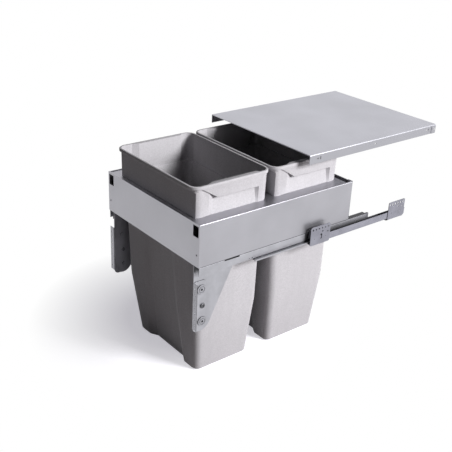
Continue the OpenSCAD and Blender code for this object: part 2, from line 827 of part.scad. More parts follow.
// Plastic clip pressed into the bottom of the cabinet member
module end_clip(side) {
    color("black") in_place() on_side(side) {
        along_x(clip_x - clip_w / 2, clip_w) translate([clip_y, cabinet_z]) polygon([
            [-clip_l / 2, 0], [-clip_l / 2, -clip_h / 2], [-clip_l / 4, -clip_h],
            [clip_l / 4, -clip_h], [clip_l / 2, -clip_h / 2], [clip_l / 2, 0]
        ]);
        translate([clip_x, clip_y, cabinet_z - clip_h / 2])
            cylinder(h = clip_h / 2 + member_sheet, d = peg_d - 2 * rivet_fit, $fn = round_fn);
    }
}
module end_clip_left() { end_clip(-1); }
module end_clip_right() { end_clip(1); }

// Side view of a bracket plate: a triangle that ends in a half round
bracket_rear = [bracket_front + bracket_d, -frame_h];
bracket_nose = [adjuster_y, lower_z];
bracket_run = bracket_rear - bracket_nose;
bracket_turn = atan2(bracket_run.y, bracket_run.x) - acos(bracket_r / norm(bracket_run));
bracket_normal = [cos(bracket_turn), sin(bracket_turn)];
bracket_touch = bracket_nose + bracket_r * bracket_normal;
bracket_arc = [for (i = [0 : round_fn])
    let (turn = lerp(bracket_turn, -180, i / round_fn))
    bracket_nose + bracket_r * [cos(turn), sin(turn)]];
bracket_lip_top = lerp(bracket_rear, bracket_touch, bracket_lip_share);
module bracket_outline() {
    polygon(concat([[bracket_front, -frame_h], bracket_rear], bracket_arc));
}

// Bracket plate with its top flange and the lip along its slanted edge
module bracket_plate(side) {
    color("silver") in_place() on_side(side) difference() {
        union() {
            along_x(bracket_out - sheet, sheet) bracket_outline();
            block([bracket_out - bracket_top_w, bracket_front, -frame_h - sheet],
                [bracket_out, bracket_rear.x - bracket_lip_w, -frame_h]);
            along_x(bracket_out - bracket_lip_w, bracket_lip_w)
                polygon([bracket_lip_top, bracket_touch, bracket_touch - sheet * bracket_normal,
                    bracket_lip_top - sheet * bracket_normal]);
        }
        for (p = [[upper_y, upper_z], [adjuster_y, lower_z]])
            rod(bracket_out - sheet - over, sheet + 2 * over, journal_d + 2 * running_fit, p.x, p.y);
        rod(bracket_out - sheet - over, sheet + 2 * over, clamp_d, adjuster_y, clamp_z);
        for (i = [0, 1])
            translate([bracket_out - bracket_rivet_inset,
                    bracket_rivet_start + i * bracket_rivet_pitch, -frame_h - sheet - over])
                cylinder(h = sheet + 2 * over, d = rivet_d, $fn = round_fn);
    }
}
module bracket_plate_left() { bracket_plate(-1); }
module bracket_plate_right() { bracket_plate(1); }

// Rivets that hold both bracket plates below the side panels
module bracket_rivets() {
    color("gainsboro") in_place() for (side = [-1, 1], i = [0, 1]) on_side(side)
        translate([bracket_out - bracket_rivet_inset,
                bracket_rivet_start + i * bracket_rivet_pitch, -frame_h - sheet])
            rivet(2 * sheet, rivet_d, rivet_head_d, rivet_head_h);
}

// Screw and nut that clamp the door angle to the bracket plate
module clamp_screw(side) {
    color("gainsboro") in_place() on_side(side) difference() {
        union() {
            rod(bracket_out - sheet - clamp_nut_t, clamp_nut_t, clamp_nut_d, adjuster_y, clamp_z);
            rod(bracket_out - sheet - over, leg_out + play - bracket_out + sheet + 2 * over,
                clamp_d - 2 * rivet_fit, adjuster_y, clamp_z);
            rod(leg_out + play, clamp_head_h, clamp_head_d, adjuster_y, clamp_z);
        }
        translate([leg_out + play + clamp_head_h - socket_t, adjuster_y, clamp_z]) rotate([0, 90, 0])
            cylinder(h = socket_t + over, d = socket_d, $fn = 6);
    }
}
module clamp_screw_left() { clamp_screw(-1); }
module clamp_screw_right() { clamp_screw(1); }

// Slot in which an eccentric's disc lifts the door angle
module disc_slot(y, z) {
    shift = throw * (1 - cos(swing));
    translate([y - throw + shift / 2, z]) slot(disc_d + shift + 2 * play, disc_d + 2 * play);
}

// Door angle: a leg along the bracket plate and a flange for the door's screws
module door_angle(side) {
    low = lower_z - bracket_r;
    color("silver") in_place() on_side(side) difference() {
        union() {
            translate([leg_in, 0, angle_top - door_flange_h]) linear_extrude(door_flange_h)
                fold(door_flange_w, fold_r + over, sheet, fold_r);
            along_x(leg_in, sheet) translate([fold_r, low]) {
                soft_square([leg_d - fold_r, angle_top - low], leg_r);
                translate([0, leg_r]) square([leg_r, angle_top - low - leg_r]);
            }
        }
        along_x(leg_in - over, sheet + 2 * over) {
            disc_slot(upper_y, upper_z);
            disc_slot(adjuster_y, lower_z);
            translate([adjuster_y, clamp_z]) rotate(90) slot(clamp_slot_l, clamp_d + 2 * play);
        }
        for (i = [0 : door_holes - 1])
            translate([leg_out + (door_flange_w - sheet) / 2, sheet + over,
                    angle_top - door_hole_drop - i * door_hole_pitch])
                rotate([90, 0, 0]) cylinder(h = sheet + 2 * over, d = door_hole_d, $fn = round_fn);
    }
}
module door_angle_left() { door_angle(-1); }
module door_angle_right() { door_angle(1); }

// Eccentric: journal in the bracket plate, disc in the door angle and a head with a socket
module eccentric(side, y, z) {
    color("gainsboro") in_place() on_side(side) difference() {
        union() {
            rod(bracket_out - sheet - play - collar_t, collar_t, journal_collar_d, y, z);
            rod(bracket_out - sheet - play - over / 2, sheet + 2 * play + over, journal_d, y, z);
            rod(leg_in, leg_out + play - leg_in, disc_d, y - throw, z);
            rod(leg_out + play, head_t, eccentric_head_d, y, z);
        }
        translate([leg_out + play + head_t - socket_t, y, z]) rotate([0, 90, 0])
            cylinder(h = socket_t + over, d = socket_d, $fn = 6);
    }
}
module upper_eccentric_left() { eccentric(-1, upper_y, upper_z); }
module upper_eccentric_right() { eccentric(1, upper_y, upper_z); }
module lower_eccentric_left() { eccentric(-1, adjuster_y, lower_z); }
module lower_eccentric_right() { eccentric(1, adjuster_y, lower_z); }

// Lid: a shallow tray turned over, open at the front, with ears round its rear corners
module lid() {
    color("gainsboro") in_place() difference() {
        union() {
            along_y(drawn_out, lid_d - lid_sheet) translate([-lid_half, lid_top]) rotate(-90)
                channel(lid_flange_h, lid_flange_h, 2 * lid_half, lid_sheet, lid_fold_r);
            along_x(lid_fold_r - lid_half, 2 * (lid_half - lid_fold_r)) translate([total_d, lid_top])
                mirror([1, 0]) mirror([0, 1]) fold(2 * lid_fold_r, lid_flange_h, lid_sheet, lid_fold_r);
            for (side = [-1, 1]) on_side(side)
                translate([lid_half + lid_sheet, total_d, lid_z]) mirror([1, 0, 0]) mirror([0, 1, 0])
                    linear_extrude(lid_flange_h - lid_fold_r)
                        fold(2 * lid_fold_r, lid_ear_l, lid_sheet, lid_fold_r);
            block([lid_fold_r - lid_half, drawn_out, lid_top - 2 * lid_sheet],
                [lid_half - lid_fold_r, drawn_out + lid_hem_w, lid_top - lid_sheet]);
        }
        for (side = [-1, 1]) on_side(side) {
            for (i = [0 : lid_holes - 1])
                rod(lid_half - lid_sheet - over, 2 * lid_sheet + 2 * over, lid_hole_d,
                    drawn_out + lid_hole_start + i * lid_hole_pitch, lid_z + lid_hole_rise);
            for (i = [0, lid_holes - 1])
                along_x(lid_half - lid_sheet - over, 2 * lid_sheet + 2 * over)
                    translate([drawn_out + lid_hole_start + i * lid_hole_pitch + lid_slot_gap,
                            lid_z + lid_hole_rise]) rotate(90) slot(lid_slot_l, lid_slot_w);
            rod(lid_half - lid_sheet - over, 2 * lid_sheet + 2 * over, lid_rivet_d,
                total_d - lid_ear_l / 2, lid_z + lid_hole_rise);
        }
    }
}

// Rivets through the lid's ears
module lid_rivets() {
    color("white") in_place() for (side = [-1, 1]) on_side(side)
        translate([lid_half + lid_sheet, total_d - lid_ear_l / 2, lid_z + lid_hole_rise])
            rotate([0, -90, 0])
                rivet(2 * lid_sheet, lid_rivet_d, lid_rivet_head_d, lid_rivet_head_h);
}

lid();
lid_rivets();
cabinet_member_left();
cabinet_member_right();
front_plate_left();
front_plate_right();
rear_plate_left();
rear_plate_right();
plate_rivets_left();
plate_rivets_right();
end_clip_left();
end_clip_right();
middle_member_left();
middle_member_right();
upper_cage_left();
upper_cage_right();
upper_balls_left();
upper_balls_right();
lower_cage_left();
lower_cage_right();
lower_balls_left();
lower_balls_right();
front_panel();
side_panel_left();
side_panel_right();
rear_panel();
rear_rivets();
bin_deck();
drawer_member_left();
drawer_member_right();
bracket_plate_left();
bracket_plate_right();
bracket_rivets();
clamp_screw_left();
clamp_screw_right();
door_angle_left();
door_angle_right();
upper_eccentric_left();
upper_eccentric_right();
lower_eccentric_left();
lower_eccentric_right();
front_bin();
rear_bin();
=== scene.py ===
"""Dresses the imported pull-out bin unit and sets it in a plain pale studio."""
import logging
import math
from dataclasses import dataclass, replace
from enum import Enum
from typing import Any, Callable, Sequence

import bpy
from mathutils import Matrix, Vector


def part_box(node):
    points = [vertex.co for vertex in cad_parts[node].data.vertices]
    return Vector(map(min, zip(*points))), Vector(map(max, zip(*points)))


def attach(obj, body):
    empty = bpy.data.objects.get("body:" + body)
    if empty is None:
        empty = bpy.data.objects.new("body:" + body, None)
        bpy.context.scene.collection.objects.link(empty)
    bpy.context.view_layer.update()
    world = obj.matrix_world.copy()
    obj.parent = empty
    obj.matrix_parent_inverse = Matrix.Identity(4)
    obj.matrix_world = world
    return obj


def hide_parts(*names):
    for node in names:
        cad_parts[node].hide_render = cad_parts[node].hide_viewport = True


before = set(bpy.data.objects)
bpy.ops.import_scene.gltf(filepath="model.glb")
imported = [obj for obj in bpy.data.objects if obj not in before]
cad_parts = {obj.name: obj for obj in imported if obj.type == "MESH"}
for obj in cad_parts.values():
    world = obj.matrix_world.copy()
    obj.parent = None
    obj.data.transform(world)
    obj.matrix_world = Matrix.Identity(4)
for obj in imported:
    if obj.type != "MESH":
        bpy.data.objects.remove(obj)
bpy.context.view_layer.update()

LOG = logging.getLogger("bin_unit")

Colour = tuple[float, float, float]
Place = tuple[float, float, float]
Span = tuple[float, float]

# Colour of the painted shade on cut edges, in bores and under folds
PAINTED_SHADE_DARK: Colour = (0.02, 0.02, 0.022)
# Rays for each look around a point, for the painted shade
LOOKS_AROUND = 8
# Vertices closer than this are one, in metres
MERGE_GAP = 0.00002
# Faces that meet at less than this are one, in degrees
FLAT_ANGLE = 0.4
# Places of new pieces that are closer than this are the same, in metres
SAME_PLACE = 0.000001


class Side(Enum):
    """The two long sides of the unit, as the words that end the names of their nodes."""

    LEFT = "left"
    RIGHT = "right"


class Sheen(Enum):
    """How glossy a finish is: roughness of its smooth places and how far it varies."""

    POLISHED = (0.16, 0.06)
    SATIN = (0.36, 0.08)
    MATTE = (0.56, 0.10)


class Grain(Enum):
    """Which way zinc sheet was rolled: share of the pattern's scale along each axis."""

    ALONG_Y = (1.0, 0.04, 1.0)
    ALONG_Z = (1.0, 1.0, 0.05)
    EVEN = (1.0, 1.0, 1.0)


@dataclass(frozen=True)
class Pattern:
    """A noise in features per metre, with the range and share in which it shows."""

    scale: float
    detail: float = 3
    stretch: tuple[float, float, float] = (1, 1, 1)
    span: Span = (0.3, 0.7)
    share: float = 1.0


@dataclass(frozen=True)
class Shade:
    """How much shade is painted into a finish where other surfaces close it in, within a reach in metres."""

    reach: float
    tone: float
    span: Span


def toned(colour: Colour, share: float) -> Colour:
    """A colour at a share of its brightness."""
    return tuple(c * share for c in colour)


class Num:
    """A number that flows through shader nodes, so that materials read as sums."""

    def __init__(self, recipe: "Recipe", value: Any) -> None:
        """Keeps a socket or a plain number.

        Args:
            recipe: The material or sky that the nodes are added to.
            value: A socket, a number or another Num.
        """
        self.recipe = recipe
        self.value = value.value if isinstance(value, Num) else value

    def _math(self, operation: str, *others: Any) -> "Num":
        """Adds one Math node.

        Args:
            operation: The node's operation.
            *others: The other inputs, as numbers or Nums.

        Returns:
            The node's result.
        """
        node = self.recipe.node("ShaderNodeMath", {"operation": operation}, dict(enumerate((self, *others))))
        return Num(self.recipe, node.outputs[0])

    def __add__(self, other: Any) -> "Num":
        """Sum."""
        return self._math("ADD", other)

    __radd__ = __add__

    def __mul__(self, other: Any) -> "Num":
        """Product."""
        return self._math("MULTIPLY", other)

    __rmul__ = __mul__

    def __sub__(self, other: Any) -> "Num":
        """Difference."""
        return self._math("SUBTRACT", other)

    def __rsub__(self, other: Any) -> "Num":
        """Difference from a plain number."""
        return Num(self.recipe, other)._math("SUBTRACT", self)

    def most(self, other: Any) -> "Num":
        """The larger of the two."""
        return self._math("MAXIMUM", other)

    def ramp(self, low: float, high: float) -> "Num":
        """Turns the number into a clamped share of the way from low to high.

        Args:
            low: Where the share is 0.
            high: Where the share is 1.

        Returns:
            The share.
        """
        node = self.recipe.node("ShaderNodeMapRange", {"clamp": True},
                                {"Value": self, "From Min": low, "From Max": high})
        return Num(self.recipe, node.outputs[0])

    def shown(self, pattern: Pattern) -> "Num":
        """A noise within the range and share in which its pattern shows."""
        return self.ramp(*pattern.span) * pattern.share


class Recipe:
    """One material or sky under construction: its nodes, its coordinates and its shader."""

    def __init__(self, owner: bpy.types.Material | bpy.types.World,
                 output: str = "ShaderNodeOutputMaterial") -> None:
        """Clears the owner's nodes and adds its output.

        Args:
            owner: A new material or world.
            output: Type of the output node.
        """
        owner.use_nodes = True
        self.owner = owner
        self.tree = owner.node_tree
        self.tree.nodes.clear()
        self.output = self.node(output)

    def node(self, kind: str, settings: dict[str, Any] | None = None,
             inputs: dict[Any, Any] | None = None) -> bpy.types.Node:
        """Adds a node.

        Args:
            kind: The node's type.
            settings: Properties that are set before the inputs.
            inputs: Values, Nums or links by socket name or number.

        Returns:
            The new node.
        """
        node = self.tree.nodes.new(kind)
        for key, value in (settings or {}).items():
            setattr(node, key, value)
        for key, value in (inputs or {}).items():
            value = value.value if isinstance(value, Num) else value
            if isinstance(value, bpy.types.NodeSocket):
                self.tree.links.new(value, node.inputs[key])
            else:
                node.inputs[key].default_value = value
        return node

    def end(self, shader: bpy.types.Node) -> None:
        """Leads a shader to the output."""
        self.tree.links.new(shader.outputs[0], self.output.inputs[0])

    def place(self) -> bpy.types.NodeSocket:
        """The object's own coordinates."""
        return self.node("ShaderNodeTexCoord").outputs["Object"]

    def noise(self, pattern: Pattern) -> Num:
        """Noise in the object's own space.

        Args:
            pattern: Its scale, detail and stretch.

        Returns:
            The noise, from 0 to 1.
        """
        mapped = self.node("ShaderNodeMapping", {}, {"Vector": self.place(), "Scale": pattern.stretch})
        made = self.node("ShaderNodeTexNoise", {}, {"Vector": mapped.outputs[0], "Scale": pattern.scale,
                                                    "Detail": pattern.detail})
        return Num(self, made.outputs[0])

    def part(self, vector: bpy.types.NodeSocket, index: int) -> Num:
        """One of a vector's three numbers."""
        return Num(self, self.node("ShaderNodeSeparateXYZ", {}, {0: vector}).outputs[index])

    def facing(self, index: int) -> Num:
        """How far the surface faces along one axis, from -1 to 1."""
        return self.part(self.node("ShaderNodeNewGeometry").outputs["Normal"], index)

    def seen(self) -> Num:
        """1 for the camera and in reflections, 0 where only light is gathered."""
        path = self.node("ShaderNodeLightPath")
        return Num(self, path.outputs["Is Camera Ray"]).most(Num(self, path.outputs["Is Glossy Ray"]))

    def blend(self, share: Any, first: Any, second: Any) -> bpy.types.NodeSocket:
        """Mixes two colours.

        Args:
            share: Share of the second colour.
            first: Colour or link.
            second: Colour or link.

        Returns:
            The mixed colour's socket.
        """
        first, second = (c if isinstance(c, bpy.types.NodeSocket) else (*c, 1) for c in (first, second))
        return self.node("ShaderNodeMix", {"data_type": "RGBA"}, {0: share, 6: first, 7: second}).outputs[2]

    def shaded(self, colour: bpy.types.NodeSocket, base: Colour, shade: Shade) -> bpy.types.NodeSocket:
        """Paints shade into a colour where other surfaces close it in.

        Args:
            colour: The colour in the open.
            base: The finish's plain colour.
            shade: Reach, darkest tone and range.

        Returns:
            The socket of the colour with painted shade.
        """
        around = self.node("ShaderNodeAmbientOcclusion", {"samples": LOOKS_AROUND}, {"Distance": shade.reach})
        free = Num(self, around.outputs["AO"]).ramp(*shade.span)
        return self.blend(free, toned(base, shade.tone), colour)

    def bump(self, height: Num, distance: float, strength: float) -> bpy.types.NodeSocket:
        """Turns a height into a normal.

        Args:
            height: Height from 0 to 1.
            distance: What a height of 1 means, in metres.
            strength: Share of the effect.

        Returns:
            The normal's socket.
        """
        made = self.node("ShaderNodeBump", {}, {"Height": height, "Distance": distance, "Strength": strength})
        return made.outputs[0]

    def surface(self, colour: bpy.types.NodeSocket, roughness: Num, normal: bpy.types.NodeSocket,
                **plain: float) -> bpy.types.Material:
        """Ends the material in one principled shader.

        Args:
            colour: Base colour.
            roughness: Roughness.
            normal: Normal with the surface's relief.
            **plain: Uniform values by socket name, with underscores for spaces.

        Returns:
            The finished material.
        """
        inputs = {"Base Color": colour, "Roughness": roughness, "Normal": normal}
        inputs.update({key.replace("_", " "): value for key, value in plain.items()})
        self.end(self.node("ShaderNodeBsdfPrincipled", {}, inputs))
        return self.owner


@dataclass(frozen=True)
class PowderCoat:
    """Satin powder coat on sheet steel with a fine orange peel, and painted shade under folds, where other
    surfaces close it in and, where set, on faces along X.
    """

    name: str
    colour: Colour
    sheen: Sheen = Sheen.SATIN
    cloud: Pattern = Pattern(9, 4)
    cloud_tones: Span = (0.93, 1.05)
    grain: Pattern = Pattern(900, 2, span=(0.35, 0.65), share=0.25)
    grain_tone: float = 0.86
    rubbed: Pattern = Pattern(140, 5, (1, 0.15, 0.15), (0.62, 0.78), 0.05)
    peel: float = 0.00003
    peel_strength: float = 0.5
    side_shade_tone: float = 1.0
    side_shade_span: Span = (0.3, 0.9)
    fold_shade: float = 0.8
    fold_span: Span = (0.08, 0.3)
    flat_span: Span = (0.02, 0.1)
    painted_contact_shade: Shade = Shade(0.012, 0.2, (0.2, 0.6))

    def material(self) -> bpy.types.Material:
        """Builds the material.

        Returns:
            The material.
        """
        recipe = Recipe(bpy.data.materials.new(self.name))
        smooth, spread = self.sheen.value
        cloud = recipe.noise(self.cloud)
        grain = recipe.noise(self.grain)
        darker, lighter = (toned(self.colour, share) for share in self.cloud_tones)
        colour = recipe.blend(cloud.shown(self.cloud), darker, lighter)
        colour = recipe.blend(grain.shown(self.grain), colour, toned(self.colour, self.grain_tone))
        # Painted shade: faces along X are darker than the rest of the coat
        if self.side_shade_tone < 1:
            across = recipe.facing(0)
            flange = (across * across).ramp(*self.side_shade_span)
            colour = recipe.blend(flange, colour, toned(self.colour, self.side_shade_tone))
        # Painted shade on faces that turn downward under the folds
        down = recipe.facing(2) * -1
        under_fold = down.ramp(*self.fold_span) * (1 - down).ramp(*self.flat_span)
        colour = recipe.blend(under_fold * self.fold_shade, colour, PAINTED_SHADE_DARK)
        # Painted shade where other surfaces close the coat in
        colour = recipe.shaded(colour, self.colour, self.painted_contact_shade)
        roughness = cloud * spread + smooth - recipe.noise(self.rubbed).shown(self.rubbed)
        return recipe.surface(colour, roughness, recipe.bump(grain, self.peel, self.peel_strength),
                              Metallic=0.96, Specular_IOR_Level=0.5)


@dataclass(frozen=True)
class ZincPlate:
    """Zinc plated steel: cool grey, with a soft rolling grain, cloudy patches, painted shade on cut edges and
    painted shade where other surfaces close it in.
    """

    name: str
    colour: Colour
    grain: Grain = Grain.ALONG_Y
    sheen: Sheen = Sheen.SATIN
    cloud: Pattern = Pattern(35, 4)
    rolled: Pattern = Pattern(700, 3, span=(0.4, 0.7), share=0.3)
    dark_tone: float = 0.82
    relief: float = 0.00002
    relief_strength: float = 0.5
    cut_edge_shade: float = 0.0
    cut_span: Span = (0.2, 0.75)
    painted_contact_shade: Shade = Shade(0.02, 0.12, (0.25, 0.75))

    def cut(self, recipe: Recipe) -> Num:
        """Where the sheet's cut edges are: wherever it doesn't face along X.

        Args:
            recipe: The material under construction.

        Returns:
            1 on cut edges, 0 on the sheet's faces.
        """
        across = recipe.facing(0)
        return 1 - (across * across).ramp(*self.cut_span)

    def material(self) -> bpy.types.Material:
        """Builds the material.

        Returns:
            The material.
        """
        recipe = Recipe(bpy.data.materials.new(self.name))
        smooth, spread = self.sheen.value
        cloud = recipe.noise(self.cloud)
        rolled = recipe.noise(replace(self.rolled, stretch=self.grain.value))
        darker = toned(self.colour, self.dark_tone)
        colour = recipe.blend(cloud.shown(self.cloud), darker, self.colour)
        colour = recipe.blend(rolled.shown(self.rolled), colour, darker)
        # Painted shade on the cut edges and in the bores
        if self.cut_edge_shade > 0:
            colour = recipe.blend(self.cut(recipe) * self.cut_edge_shade, colour, PAINTED_SHADE_DARK)
        # Painted shade where other surfaces close the zinc in
        colour = recipe.shaded(colour, self.colour, self.painted_contact_shade)
        roughness = cloud * (spread * 2) + rolled * spread + (smooth - spread)
        return recipe.surface(colour, roughness, recipe.bump(rolled, self.relief, self.relief_strength),
                              Metallic=0.8)


@dataclass(frozen=True)
class ZincAngle(ZincPlate):
    """Zinc plated angle: one leg faces along X, its flange along Y, with painted shade in the flange's bores.
    """

    flange_front: float = 0.0
    flange_depth: float = 0.0022
    skin: Span = (0.0001, 0.0003)
    facing_span: Span = (0.3, 0.7)

    def cut(self, recipe: Recipe) -> Num:
        """Where the angle's cut edges and the walls of the flange's bores are.

        Args:
            recipe: The material under construction.

        Returns:
            1 on cut edges and bores, 0 on the faces of both legs.
        """
        along = recipe.facing(1)
        sideways = 1 - (along * along).ramp(*self.facing_span)
        depth = recipe.part(recipe.place(), 1) - self.flange_front
        bored = (self.flange_depth - depth).ramp(*self.skin) * depth.ramp(*self.skin)
        return (1 - (1 - super().cut(recipe)) * (1 - bored * sideways)) * sideways


@dataclass(frozen=True)
class MouldedPlastic:
    """Moulded plastic with a fine eroded texture, faint flow marks and streaks, and painted shade that
    darkens it deep inside.
    """

    name: str
    colour: Colour
    speckle: float = 0.20
    relief: float = 0.00012
    sheen: Sheen = Sheen.MATTE
    flow: Pattern = Pattern(5, 3, (1, 1, 0.35))
    flow_tones: Span = (0.95, 1.04)
    streaks: Pattern = Pattern(60, 3, (1, 1, 0.04), (0.42, 0.66), 0.25)
    grain: Pattern = Pattern(520, 4, span=(0.42, 0.62), share=0.7)
    mottle: Pattern = Pattern(230, 3, span=(0.44, 0.66), share=0.5)
    fine: Pattern = Pattern(1700, 2)
    fine_share: float = 0.3
    relief_strength: float = 0.7
    # Painted shade deep inside, where other surfaces close the plastic in
    depth: Shade = Shade(0.45, 0.2, (0.0, 0.25))

    def material(self) -> bpy.types.Material:
        """Builds the material.

        Returns:
            The material.
        """
        recipe = Recipe(bpy.data.materials.new(self.name))
        smooth, spread = self.sheen.value
        grain = recipe.noise(self.grain)
        fine = recipe.noise(self.fine)
        darker = toned(self.colour, 1 - self.speckle)
        low, high = (toned(self.colour, share) for share in self.flow_tones)
        colour = recipe.blend(recipe.noise(self.flow).shown(self.flow), low, high)
        colour = recipe.blend(recipe.noise(self.streaks).shown(self.streaks), colour, darker)
        colour = recipe.blend(grain.shown(self.grain), colour, darker)
        colour = recipe.blend(recipe.noise(self.mottle).shown(self.mottle), colour, darker)
        # Painted shade deep inside and where other surfaces close the plastic in
        colour = recipe.shaded(colour, self.colour, self.depth)
        height = grain * (1 - self.fine_share) + fine * self.fine_share
        return recipe.surface(colour, grain * spread + smooth,
                              recipe.bump(height, self.relief, self.relief_strength), Specular_IOR_Level=0.2)


@dataclass(frozen=True)
class TurnedSteel:
    """Bright steel of rivets, balls and screws, with tool marks."""

    name: str
    colour: Colour
    sheen: Sheen = Sheen.POLISHED
    cloud: Pattern = Pattern(160, 4, span=(0.35, 0.7))
    cloud_tone: float = 0.8
    marks: Pattern = Pattern(1500, 2)
    relief: float = 0.00001
    relief_strength: float = 0.6

    def material(self) -> bpy.types.Material:
        """Builds the material.

        Returns:
            The material.
        """
        recipe = Recipe(bpy.data.materials.new(self.name))
        smooth, spread = self.sheen.value
        cloud = recipe.noise(self.cloud)
        colour = recipe.blend(cloud.shown(self.cloud), self.colour, toned(self.colour, self.cloud_tone))
        relief = recipe.bump(recipe.noise(self.marks), self.relief, self.relief_strength)
        return recipe.surface(colour, cloud * (spread * 2) + smooth, relief, Metallic=0.85)


Finish = PowderCoat | ZincPlate | MouldedPlastic | TurnedSteel

FRAME_COAT = PowderCoat("frame_coat", (0.428, 0.424, 0.457))
# The lid's side flanges get painted shade
LID_COAT = PowderCoat("lid_coat", (0.505, 0.505, 0.545), side_shade_tone=0.78)
DRAWER_ZINC = ZincPlate("drawer_zinc", (0.44, 0.44, 0.475), cut_edge_shade=0.85, cut_span=(0.8, 0.98))
RUNNER_ZINC = ZincPlate("runner_zinc", (0.33, 0.33, 0.385), cut_edge_shade=0.9)
PLATE_ZINC = ZincPlate("plate_zinc", (0.30, 0.30, 0.35), Grain.ALONG_Z, cut_edge_shade=0.85)
BRACKET_ZINC = ZincPlate("bracket_zinc", (0.44, 0.44, 0.475), Grain.ALONG_Z)
ANGLE_ZINC = ZincAngle("angle_zinc", BRACKET_ZINC.colour, Grain.ALONG_Z, cut_edge_shade=0.85, cut_span=(0.1, 0.4),
                       flange_front=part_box("door_angle_right")[0].y)
ADJUSTER_ZINC = ZincPlate("adjuster_zinc", (0.42, 0.42, 0.455), Grain.EVEN, cut_edge_shade=0.92)
BIN_PLASTIC = MouldedPlastic("bin_plastic", (0.52, 0.505, 0.53))
# Near black: painted shade for the gap between the runner members
CAGE_PLASTIC = MouldedPlastic("cage_plastic", (0.05, 0.05, 0.052), speckle=0.08, relief=0.00004)
BLACK_PLASTIC = MouldedPlastic("black_plastic", (0.022, 0.022, 0.024), speckle=0.08, relief=0.00004)
FASTENER_STEEL = TurnedSteel("fastener_steel", (0.60, 0.60, 0.61), Sheen.SATIN)
RIVET_STEEL = TurnedSteel("rivet_steel", (0.20, 0.20, 0.22), Sheen.SATIN)
SCREW_STEEL = TurnedSteel("screw_steel", (0.13, 0.13, 0.14), Sheen.SATIN)
BALL_STEEL = TurnedSteel("ball_steel", (0.72, 0.72, 0.73))


class Wardrobe:
    """Makes each finish once and puts it on nodes and new pieces."""

    def __init__(self) -> None:
        """Starts with no material made."""
        self.made: dict[str, bpy.types.Material] = {}

    def material(self, finish: Finish) -> bpy.types.Material:
        """Gives a finish's material, which is made at its first use.

        Args:
            finish: The finish.

        Returns:
            The material.
        """
        if finish.name not in self.made:
            self.made[finish.name] = finish.material()
        return self.made[finish.name]

    def put_on(self, finish: Finish, piece: bpy.types.Object) -> None:
        """Makes a finish the only one of a CAD node or new piece."""
        piece.data.materials.clear()
        piece.data.materials.append(self.material(finish))

    def dress(self, finish: Finish, *nodes: str) -> list[bpy.types.Object]:
        """Puts a finish on CAD nodes that keep their shape.

        Args:
            finish: The finish.
            *nodes: Names of the nodes.

        Returns:
            The nodes' objects.
        """
        pieces = [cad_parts[name] for name in nodes]
        for piece in pieces:
            self.put_on(finish, piece)
        return pieces

    def stand_in(self, piece: bpy.types.Object, finish: Finish, node: str, slot: str,
                 body: str) -> bpy.types.Object:
        """Dresses a new piece and puts it in the place of a CAD node.

        Args:
            piece: The new piece.
            finish: Its finish.
            node: The CAD node that it replaces.
            slot: The record's material slot; not used.
            body: The body that it moves with.

        Returns:
            The piece.
        """
        self.put_on(finish, piece)
        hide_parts(node)
        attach(piece, body)
        return piece


def only(piece: bpy.types.Object) -> None:
    """Selects one object alone and makes it active.

    Args:
        piece: The object.
    """
    bpy.ops.object.select_all(action="DESELECT")
    piece.select_set(True)
    bpy.context.view_layer.objects.active = piece


@dataclass(frozen=True)
class Rounding:
    """A rounding of edges: width in metres, faces across, and angles in degrees.

    Edges sharper than the limit are rounded, and edges flatter than smooth are shaded smooth.
    """

    width: float = 0.0003
    faces: int = 2
    limit: float = 30
    smooth: float = 20


def softened(node: str, name: str, rounding: Rounding) -> bpy.types.Object:
    """Copies a CAD node's mesh, merges it and rounds its sharp edges.

    Args:
        node: The CAD node.
        name: The new piece's name.
        rounding: How its edges are rounded.

    Returns:
        The new piece.
    """
    piece = bpy.data.objects.new(name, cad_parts[node].data.copy())
    bpy.context.scene.collection.objects.link(piece)
    only(piece)
    if piece.data.has_custom_normals:
        bpy.ops.mesh.customdata_custom_splitnormals_clear()
    bpy.ops.object.mode_set(mode="EDIT")
    bpy.ops.mesh.select_all(action="SELECT")
    bpy.ops.mesh.remove_doubles(threshold=MERGE_GAP)
    bpy.ops.mesh.dissolve_limited(angle_limit=math.radians(FLAT_ANGLE))
    bpy.ops.object.mode_set(mode="OBJECT")
    bevel = piece.modifiers.new("rounding", "BEVEL")
    bevel.width = rounding.width
    bevel.segments = rounding.faces
    bevel.limit_method = "ANGLE"
    bevel.angle_limit = math.radians(rounding.limit)
    bevel.use_clamp_overlap = True
    bpy.ops.object.modifier_apply(modifier=bevel.name)
    bpy.ops.object.shade_smooth_by_angle(angle=math.radians(rounding.smooth))
    return piece


